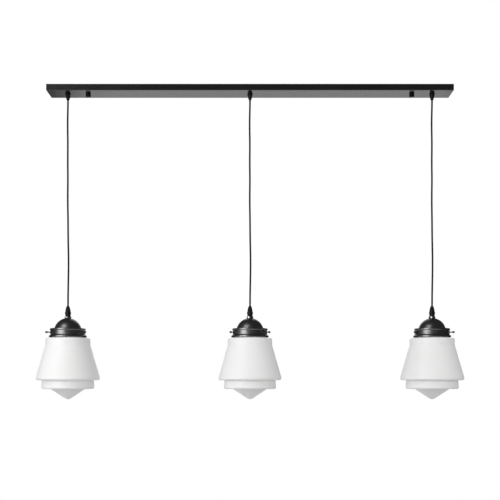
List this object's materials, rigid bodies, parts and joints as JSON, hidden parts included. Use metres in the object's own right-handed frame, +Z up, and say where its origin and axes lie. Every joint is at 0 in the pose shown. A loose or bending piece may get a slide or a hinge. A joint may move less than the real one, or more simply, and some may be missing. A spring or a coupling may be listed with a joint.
{
  "type": "linear island pendant light",
  "caption": "Ceiling beam with lights hung in a row on cords, each a black gallery and a stepped opal glass shade with a pointed bottom.",
  "frame": {"origin": "centre of the mounting bar's top face, on the ceiling", "axes": "+X along the beam, +Z up into the ceiling, viewer at -Y"},
  "size_m": [1.3788, 0.2028, 1.0056],
  "materials": {
    "beam_paint": "satin black paint on folded steel",
    "head_paint": "satin black paint on spun steel",
    "grip_plastic": "moulded black plastic",
    "cord_jacket": "black round cord",
    "zinc_steel": "zinc-plated steel",
    "stud_steel": "zinc-plated steel thread",
    "knob_finish": "black knurled metal",
    "screw_finish": "blackened steel",
    "bright_steel": "bright plated screw",
    "opal_glass": "white opal glass, glossy",
    "porcelain": "glazed porcelain",
    "cap_metal": "rolled screw cap",
    "bulb_coat": "white coated glass",
    "block_nylon": "natural nylon",
    "brass_metal": "plain brass",
    "supply_insulation": "coloured wire insulation",
    "earth_insulation": "green and yellow wire insulation"
  },
  "bodies": {
    "ceiling_frame": {"mounting_bar": "zinc_steel", "mounting_studs": "stud_steel", "ceiling_beam": "beam_paint", "upper_grip_left": "grip_plastic", "upper_grip_center": "grip_plastic", "upper_grip_right": "grip_plastic", "upper_grip_locknuts": "zinc_steel", "cord_ends": "cord_jacket", "terminal_block": "block_nylon", "terminal_screws": "brass_metal", "earth_screw": "brass_metal", "supply_wires": "supply_insulation", "earth_wires": "earth_insulation"},
    "knob_left": {"knob_nut_left": "knob_finish"},
    "knob_right": {"knob_nut_right": "knob_finish"},
    "cord_top_left": {"cord_neck_left": "cord_jacket"},
    "cord_line_left": {"cord_left": "cord_jacket"},
    "light_left": {"lower_grip_left": "grip_plastic", "collar_left": "head_paint", "collar_screw_left": "bright_steel", "dome_cap_left": "head_paint", "gallery_left": "head_paint", "glass_shade_left": "opal_glass", "nipple_left": "zinc_steel", "lampholder_left": "porcelain"},
    "bulb_left": {"bulb_cap_left": "cap_metal", "bulb_glass_left": "bulb_coat"},
    "thumb_left_1": {"thumb_screw_left_1": "screw_finish"},
    "thumb_left_2": {"thumb_screw_left_2": "screw_finish"},
    "thumb_left_3": {"thumb_screw_left_3": "screw_finish"},
    "cord_top_center": {"cord_neck_center": "cord_jacket"},
    "cord_line_center": {"cord_center": "cord_jacket"},
    "light_center": {"lower_grip_center": "grip_plastic", "collar_center": "head_paint", "collar_screw_center": "bright_steel", "dome_cap_center": "head_paint", "gallery_center": "head_paint", "glass_shade_center": "opal_glass", "nipple_center": "zinc_steel", "lampholder_center": "porcelain"},
    "bulb_center": {"bulb_cap_center": "cap_metal", "bulb_glass_center": "bulb_coat"},
    "thumb_center_1": {"thumb_screw_center_1": "screw_finish"},
    "thumb_center_2": {"thumb_screw_center_2": "screw_finish"},
    "thumb_center_3": {"thumb_screw_center_3": "screw_finish"},
    "cord_top_right": {"cord_neck_right": "cord_jacket"},
    "cord_line_right": {"cord_right": "cord_jacket"},
    "light_right": {"lower_grip_right": "grip_plastic", "collar_right": "head_paint", "collar_screw_right": "bright_steel", "dome_cap_right": "head_paint", "gallery_right": "head_paint", "glass_shade_right": "opal_glass", "nipple_right": "zinc_steel", "lampholder_right": "porcelain"},
    "bulb_right": {"bulb_cap_right": "cap_metal", "bulb_glass_right": "bulb_coat"},
    "thumb_right_1": {"thumb_screw_right_1": "screw_finish"},
    "thumb_right_2": {"thumb_screw_right_2": "screw_finish"},
    "thumb_right_3": {"thumb_screw_right_3": "screw_finish"}
  },
  "joints": [
    {"name": "knob_left_turn", "type": "hinge", "parent": "ceiling_frame", "child": "knob_left", "pos_m": [-0.5225, 0, -0.025], "axis": [0, 0, 1], "continuous": true},
    {"name": "knob_right_turn", "type": "hinge", "parent": "ceiling_frame", "child": "knob_right", "pos_m": [0.5225, 0, -0.025], "axis": [0, 0, 1], "continuous": true},
    {"name": "left_sway", "type": "hinge", "parent": "ceiling_frame", "child": "cord_top_left", "pos_m": [-0.588, 0, -0.04], "axis": [0, 1, 0], "range_deg": [-10, 10]},
    {"name": "left_swing", "type": "hinge", "parent": "cord_top_left", "child": "cord_line_left", "pos_m": [-0.588, 0, -0.056], "axis": [1, 0, 0], "range_deg": [-25, 25]},
    {"name": "left_twist", "type": "hinge", "parent": "cord_line_left", "child": "light_left", "pos_m": [-0.588, 0, -0.705], "axis": [0, 0, 1], "range_deg": [-90, 90], "stiffness_Nm_per_rad": 0.01},
    {"name": "left_bulb_turn", "type": "hinge", "parent": "light_left", "child": "bulb_left", "pos_m": [-0.588, 0, -0.82], "axis": [0, 0, 1], "range_deg": [0, 1800]},
    {"name": "left_thumb_1_travel", "type": "slide", "parent": "light_left", "child": "thumb_left_1", "axis": [0, 1, 0], "range_m": [0, 0.0045]},
    {"name": "left_thumb_2_travel", "type": "slide", "parent": "light_left", "child": "thumb_left_2", "axis": [-0.866, -0.5, 0], "range_m": [0, 0.0045]},
    {"name": "left_thumb_3_travel", "type": "slide", "parent": "light_left", "child": "thumb_left_3", "axis": [0.866, -0.5, 0], "range_m": [0, 0.0045]},
    {"name": "center_sway", "type": "hinge", "parent": "ceiling_frame", "child": "cord_top_center", "pos_m": [0, 0, -0.04], "axis": [0, 1, 0], "range_deg": [-10, 10]},
    {"name": "center_swing", "type": "hinge", "parent": "cord_top_center", "child": "cord_line_center", "pos_m": [0, 0, -0.056], "axis": [1, 0, 0], "range_deg": [-25, 25]},
    {"name": "center_twist", "type": "hinge", "parent": "cord_line_center", "child": "light_center", "pos_m": [0, 0, -0.705], "axis": [0, 0, 1], "range_deg": [-90, 90], "stiffness_Nm_per_rad": 0.01},
    {"name": "center_bulb_turn", "type": "hinge", "parent": "light_center", "child": "bulb_center", "pos_m": [0, 0, -0.82], "axis": [0, 0, 1], "range_deg": [0, 1800]},
    {"name": "center_thumb_1_travel", "type": "slide", "parent": "light_center", "child": "thumb_center_1", "axis": [0, 1, 0], "range_m": [0, 0.0045]},
    {"name": "center_thumb_2_travel", "type": "slide", "parent": "light_center", "child": "thumb_center_2", "axis": [-0.866, -0.5, 0], "range_m": [0, 0.0045]},
    {"name": "center_thumb_3_travel", "type": "slide", "parent": "light_center", "child": "thumb_center_3", "axis": [0.866, -0.5, 0], "range_m": [0, 0.0045]},
    {"name": "right_sway", "type": "hinge", "parent": "ceiling_frame", "child": "cord_top_right", "pos_m": [0.588, 0, -0.04], "axis": [0, 1, 0], "range_deg": [-10, 10]},
    {"name": "right_swing", "type": "hinge", "parent": "cord_top_right", "child": "cord_line_right", "pos_m": [0.588, 0, -0.056], "axis": [1, 0, 0], "range_deg": [-25, 25]},
    {"name": "right_twist", "type": "hinge", "parent": "cord_line_right", "child": "light_right", "pos_m": [0.588, 0, -0.705], "axis": [0, 0, 1], "range_deg": [-90, 90], "stiffness_Nm_per_rad": 0.01},
    {"name": "right_bulb_turn", "type": "hinge", "parent": "light_right", "child": "bulb_right", "pos_m": [0.588, 0, -0.82], "axis": [0, 0, 1], "range_deg": [0, 1800]},
    {"name": "right_thumb_1_travel", "type": "slide", "parent": "light_right", "child": "thumb_right_1", "axis": [0, 1, 0], "range_m": [0, 0.0045]},
    {"name": "right_thumb_2_travel", "type": "slide", "parent": "light_right", "child": "thumb_right_2", "axis": [-0.866, -0.5, 0], "range_m": [0, 0.0045]},
    {"name": "right_thumb_3_travel", "type": "slide", "parent": "light_right", "child": "thumb_right_3", "axis": [0.866, -0.5, 0], "range_m": [0, 0.0045]}
  ]
}
